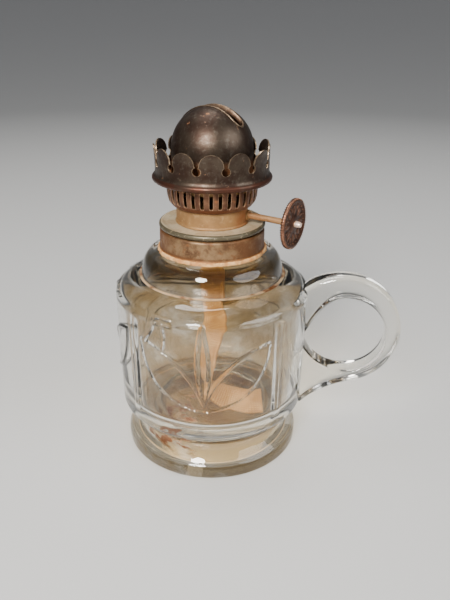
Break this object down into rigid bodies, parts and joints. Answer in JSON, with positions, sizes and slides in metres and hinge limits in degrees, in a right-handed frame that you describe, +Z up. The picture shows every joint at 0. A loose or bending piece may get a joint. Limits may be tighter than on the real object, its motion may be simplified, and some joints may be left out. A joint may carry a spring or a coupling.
{
  "type": "kerosene hand lamp",
  "caption": "Small kerosene hand lamp: pressed clear glass font with a finger loop, brass collar, and a screw-in flat-wick burner with slotted basket, petal crown and slotted dome.",
  "frame": {"origin": "middle of the foot ring, on the surface that the lamp stands on, on the lamp's axis", "axes": "+Z up along the lamp's axis, +X towards the finger loop, -Y towards the front of the glass"},
  "size_m": [0.1071, 0.072, 0.1292],
  "materials": {
    "font_glass": "clear pressed glass with a faint warm tint and fine relief",
    "collar_brass": "brown patina with rust streaks",
    "plaster": "dull cream plaster",
    "washer_leather": "dry brown leather",
    "cap_brass": "pale dull plate with a darker polished rim",
    "inner_brass": "dull sheet brass",
    "drum_brass": "ochre oxide film",
    "basket_brass": "pinkish copper-brown patina",
    "shaft_metal": "pale tan drawn wire",
    "thumbwheel_copper": "reddish copper-brown, worn bright on the edge",
    "wick_cotton": "woven cotton tape",
    "crown_brass": "dark heat-oxidised brass with worn edges"
  },
  "bodies": {
    "font": {"glass_foot": "font_glass", "glass_font": "font_glass", "glass_shoulder": "font_glass", "finger_loop": "font_glass", "collar": "collar_brass", "collar_cement": "plaster"},
    "washer": {"cap_washer": "washer_leather"},
    "burner": {"burner_cap": "cap_brass", "bottom_plate": "inner_brass", "burner_drum": "drum_brass", "air_basket": "basket_brass", "wick_tube": "inner_brass", "vent_tube": "inner_brass", "spur_housing": "inner_brass", "shaft_bushing": "drum_brass"},
    "raiser": {"raiser_shaft": "shaft_metal", "inner_spur_wheel": "inner_brass", "outer_spur_wheel": "inner_brass", "thumbwheel": "thumbwheel_copper", "thumbwheel_hub": "thumbwheel_copper"},
    "wick": {"wick": "wick_cotton", "wick_tail": "wick_cotton"},
    "gallery": {"crown": "crown_brass", "dome": "crown_brass", "spring_ring": "inner_brass"}
  },
  "joints": [
    {"name": "burner_lift", "type": "slide", "parent": "font", "child": "washer", "axis": [0, 0, 1], "range_m": [0, 0.006]},
    {"name": "burner_turn", "type": "hinge", "parent": "washer", "child": "burner", "pos_m": [0, 0, 0.089], "axis": [0, 0, 1], "range_deg": [0, 1080]},
    {"name": "wick_knob", "type": "hinge", "parent": "burner", "child": "raiser", "pos_m": [0.00156, 0.0032, 0.0926], "axis": [-0.8988, 0.4384, 0], "range_deg": [0, 297]},
    {"name": "wick_rise", "type": "slide", "parent": "burner", "child": "wick", "axis": [0, 0, 1], "range_m": [0, 0.014]},
    {"name": "gallery_lift", "type": "slide", "parent": "burner", "child": "gallery", "axis": [0, 0, 1], "range_m": [0, 0.025]}
  ],
  "couplings": [
    {"joint": "burner_lift", "follows": "burner_turn", "m_per_rad": 0.000318},
    {"joint": "wick_rise", "follows": "wick_knob", "m_per_rad": 0.0027}
  ]
}
